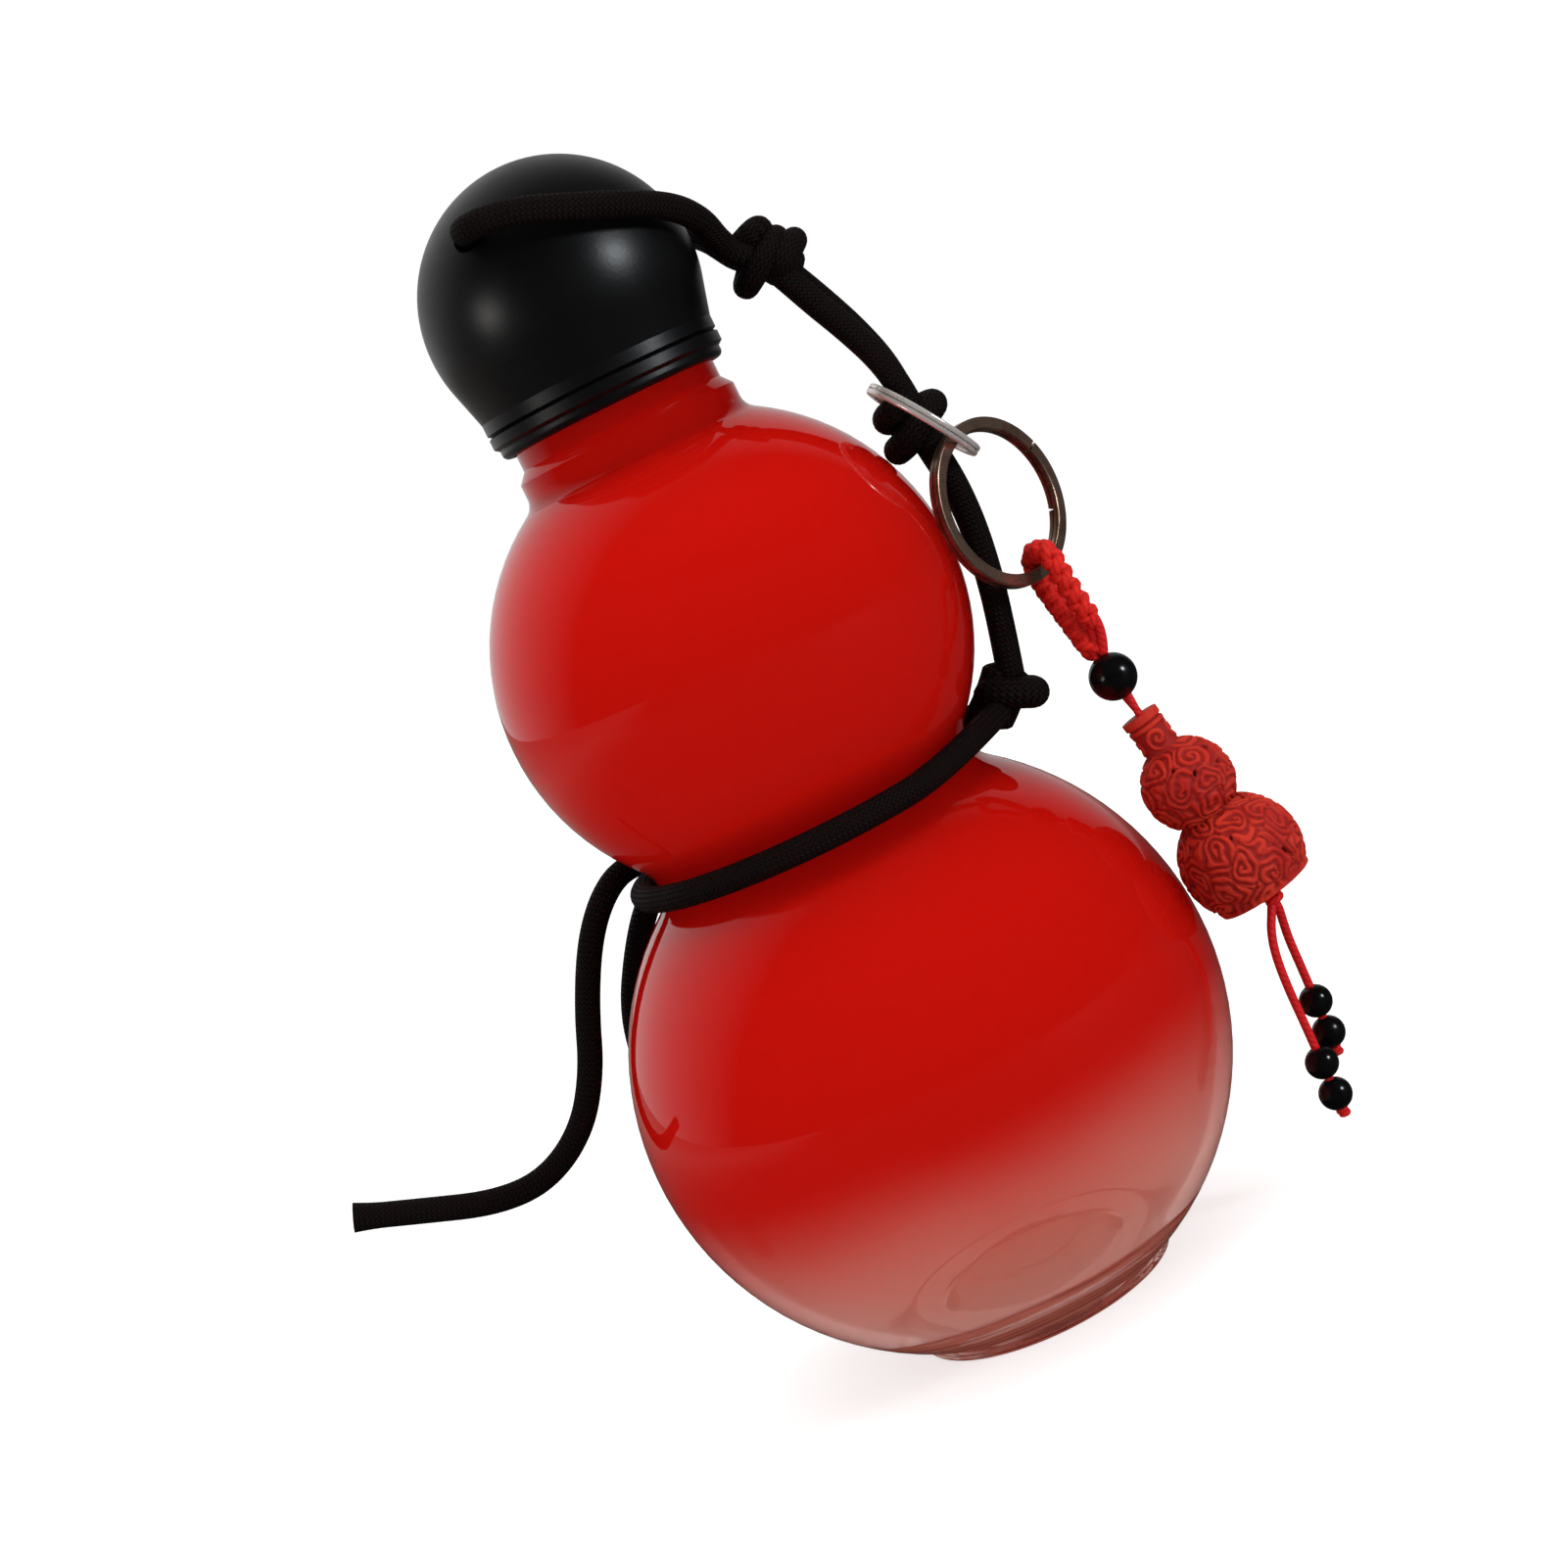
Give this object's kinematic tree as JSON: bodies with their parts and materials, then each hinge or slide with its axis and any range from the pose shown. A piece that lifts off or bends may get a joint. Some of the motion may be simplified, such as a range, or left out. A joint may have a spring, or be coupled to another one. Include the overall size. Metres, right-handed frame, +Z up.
{
  "type": "gourd water bottle",
  "caption": "Gourd-shaped glass water bottle with a ball screw cap, a cord tied round its waist, split rings and a carved gourd charm.",
  "frame": {"origin": "centre of the foot's resting plane, on the bottle's own axis", "axes": "+Z up along the bottle's axis, -Y towards the pictured side, +X towards the strap and the pendant"},
  "size_m": [0.171, 0.1008, 0.2077],
  "materials": {
    "red_glass": "glossy, clear towards the foot",
    "black_cap": "satin",
    "liner_plastic": "satin",
    "gasket_rubber": "matt",
    "black_cord": "fine braid",
    "ring_steel": "polished",
    "red_cord": "braided",
    "black_bead": "polished",
    "red_lacquer": "carved, matt"
  },
  "bodies": {
    "bottle": {"bottle_shell": "red_glass"},
    "strap": {"knot_top": "black_cord", "strap_upper_front": "black_cord", "strap_upper_rear": "black_cord", "knot_ring": "black_cord", "strap_lower_front": "black_cord", "strap_lower_rear": "black_cord", "knot_side": "black_cord", "waist_cord_front": "black_cord", "waist_cord_rear": "black_cord", "knot_back": "black_cord", "tail_long": "black_cord", "tail_short": "black_cord"},
    "cap": {"cap_ball": "black_cap", "cap_liner": "liner_plastic", "cap_gasket": "gasket_rubber", "cap_cord": "black_cord"},
    "small_ring": {"ring_small": "ring_steel"},
    "large_ring": {"ring_large": "ring_steel"},
    "pendant": {"pendant_loop": "red_cord", "pendant_cord": "red_cord", "charm_knot": "red_cord"},
    "bead": {"round_bead": "black_bead"},
    "charm": {"gourd_charm": "red_lacquer"},
    "tassel_left": {"tassel_cord_left": "red_cord", "tassel_beads_left": "black_bead", "tassel_knot_left": "red_cord"},
    "tassel_right": {"tassel_cord_right": "red_cord", "tassel_beads_right": "black_bead", "tassel_knot_right": "red_cord"}
  },
  "joints": [
    {"name": "cap_turn", "type": "hinge", "parent": "bottle", "child": "strap", "pos_m": [0, 0, 0.0911], "axis": [0, 0, 1], "range_deg": [0, 1350]},
    {"name": "cap_rise", "type": "slide", "parent": "strap", "child": "cap", "axis": [0, 0, 1], "range_m": [0, 0.0151], "deforming": ["cap_cord"]},
    {"name": "small_ring_turn", "type": "hinge", "parent": "strap", "child": "small_ring", "pos_m": [0.0431, -0.0012, 0.1428], "axis": [0, 0, 1], "range_deg": [0, 8]},
    {"name": "large_ring_swing", "type": "hinge", "parent": "small_ring", "child": "large_ring", "pos_m": [0.0494, -0.0044, 0.1339], "axis": [0, -1, 0], "range_deg": [0, 30]},
    {"name": "pendant_swing", "type": "hinge", "parent": "large_ring", "child": "pendant", "pos_m": [0.0503, -0.0036, 0.1108], "axis": [-0.7604, -0.6494, 0], "range_deg": [0, 60]},
    {"name": "bead_spin", "type": "hinge", "parent": "pendant", "child": "bead", "pos_m": [0.0536, -0.0082, 0.0907], "axis": [0.1298, -0.0752, -0.9887], "continuous": true},
    {"name": "charm_spin", "type": "hinge", "parent": "pendant", "child": "charm", "pos_m": [0.0546, -0.0086, 0.0831], "axis": [0.182, -0.0482, -0.9821], "continuous": true},
    {"name": "tassel_left_swing", "type": "hinge", "parent": "pendant", "child": "tassel_left", "pos_m": [0.0611, -0.0103, 0.047], "axis": [0, -1, 0], "range_deg": [-15, 50]},
    {"name": "tassel_right_swing", "type": "hinge", "parent": "pendant", "child": "tassel_right", "pos_m": [0.0611, -0.0103, 0.047], "axis": [0, -1, 0], "range_deg": [-15, 50]}
  ],
  "couplings": [
    {"joint": "cap_rise", "follows": "cap_turn", "m_per_rad": 0.00063662}
  ]
}
